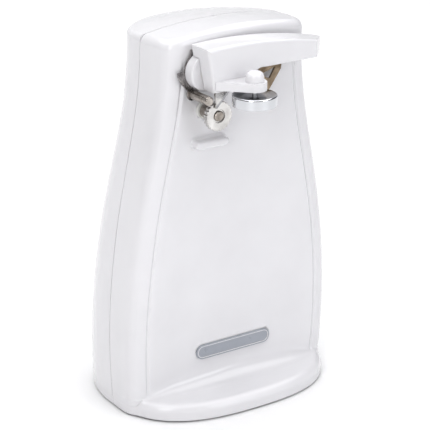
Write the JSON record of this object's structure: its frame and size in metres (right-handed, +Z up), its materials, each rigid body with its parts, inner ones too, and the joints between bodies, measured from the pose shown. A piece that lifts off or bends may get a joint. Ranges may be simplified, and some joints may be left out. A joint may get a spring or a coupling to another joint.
{
  "type": "electric can opener",
  "caption": "Tall upright electric can opener with a recessed front, projecting toe, toothed drive wheel, V blade, press-down removable lever and swivelling lid magnet.",
  "frame": {"origin": "on the resting plane, at the centre of the footprint of the whole object", "axes": "+Z up, -Y to the front where the can is held, +X to the right seen from the front"},
  "size_m": [0.1449, 0.1354, 0.23],
  "materials": {
    "white_plastic": "glossy injection moulded",
    "inner_plastic": "plain moulded",
    "badge_plastic": "satin grey, plain",
    "gear_nylon": "natural nylon",
    "black_plastic": "moulded",
    "plunger_plastic": "moulded",
    "rubber": "soft, matt",
    "polished_steel": "nickel plated and brushed",
    "chrome": "mirror",
    "plain_steel": "zinc plated",
    "sintered_steel": "oiled",
    "lamination_steel": "varnished stack",
    "aluminium": "die cast",
    "copper": "enamelled copper",
    "bronze": "sintered bronze",
    "brass": "plain",
    "wire_sleeve": "PVC",
    "ferrite": "sintered magnet",
    "grindstone": "fine grit",
    "washer_plastic": "moulded acetal"
  },
  "bodies": {
    "housing": {"front_shell": "white_plastic", "rear_shell": "white_plastic", "sharpener_guide": "inner_plastic", "front_badge": "badge_plastic", "base_plate": "inner_plastic", "base_screws": "plain_steel", "rubber_feet": "rubber", "housing_screws": "plain_steel", "gear_plate": "plain_steel", "gear_plate_screws": "plain_steel", "shaft_bushing": "washer_plastic", "gear_studs": "plain_steel", "gear_clips": "plain_steel", "stator_core": "lamination_steel", "shading_rings": "copper", "coil_bobbin": "inner_plastic", "coil_winding": "copper", "motor_front_bracket": "aluminium", "motor_rear_bracket": "aluminium", "rotor_bearings": "bronze", "bracket_screws": "plain_steel", "motor_spacers": "plain_steel", "motor_screws": "plain_steel", "motor_nuts": "plain_steel", "guide_plate": "polished_steel", "guide_post": "polished_steel", "return_spring": "plain_steel", "switch_body": "black_plastic", "switch_terminals": "brass", "switch_lead": "wire_sleeve"},
    "rotor": {"motor_pinion": "sintered_steel", "rotor_core": "lamination_steel", "rotor_shaft": "plain_steel", "sharpening_stones": "grindstone", "stone_spacer": "washer_plastic"},
    "gear_one": {"first_gear": "gear_nylon"},
    "gear_two": {"second_gear": "gear_nylon"},
    "drive": {"drive_gear": "sintered_steel", "drive_shaft": "polished_steel", "shaft_clip": "plain_steel", "drive_wheel": "polished_steel"},
    "hub": {"lever_hub": "white_plastic", "hub_cam": "inner_plastic"},
    "key": {"lever_key": "inner_plastic", "key_clip": "plain_steel"},
    "lever": {"lever_handle": "white_plastic", "cutter_blade": "polished_steel", "cutter_plate": "polished_steel", "lever_rivets": "polished_steel", "magnet_holder": "white_plastic", "holder_pins": "plain_steel"},
    "magnet": {"magnet_cup": "chrome", "magnet_disc": "ferrite", "magnet_stem": "plain_steel"},
    "plunger": {"switch_plunger": "plunger_plastic"}
  },
  "joints": [
    {"name": "rotor_spin", "type": "hinge", "parent": "housing", "child": "rotor", "pos_m": [0.00785, 0, 0.1799], "axis": [0, -1, 0], "continuous": true},
    {"name": "gear_one_spin", "type": "hinge", "parent": "housing", "child": "gear_one", "pos_m": [0.01784, 0, 0.15907], "axis": [0, -1, 0], "continuous": true},
    {"name": "gear_two_spin", "type": "hinge", "parent": "housing", "child": "gear_two", "pos_m": [-0.00205, 0, 0.17102], "axis": [0, -1, 0], "continuous": true},
    {"name": "drive_spin", "type": "hinge", "parent": "housing", "child": "drive", "pos_m": [-0.024, 0, 0.184], "axis": [0, -1, 0], "continuous": true},
    {"name": "lever_press", "type": "hinge", "parent": "housing", "child": "hub", "pos_m": [-0.028, -0.03, 0.2085], "axis": [0, -1, 0], "range_deg": [-6, 0], "stiffness_Nm_per_rad": 1.5, "springref_deg": 6.88, "deforming": ["return_spring"]},
    {"name": "lever_raise", "type": "hinge", "parent": "hub", "child": "key", "pos_m": [-0.028, -0.03, 0.2085], "axis": [0, -1, 0], "range_deg": [0, 90]},
    {"name": "lever_pull", "type": "slide", "parent": "key", "child": "lever", "axis": [0, -1, 0], "range_m": [0, 0.03]},
    {"name": "magnet_tip", "type": "hinge", "parent": "lever", "child": "magnet", "pos_m": [-0.0113, -0.05485, 0.2083], "axis": [1, 0, 0], "range_deg": [-6, 1]},
    {"name": "plunger_travel", "type": "slide", "parent": "housing", "child": "plunger", "axis": [0, 0, 1], "range_m": [-0.0021, 0]}
  ],
  "couplings": [
    {"joint": "gear_one_spin", "follows": "rotor_spin", "ratio": -0.17857},
    {"joint": "gear_two_spin", "follows": "rotor_spin", "ratio": 0.037202},
    {"joint": "drive_spin", "follows": "rotor_spin", "ratio": -0.010231},
    {"joint": "plunger_travel", "follows": "lever_press", "m_per_rad": 0.019}
  ]
}
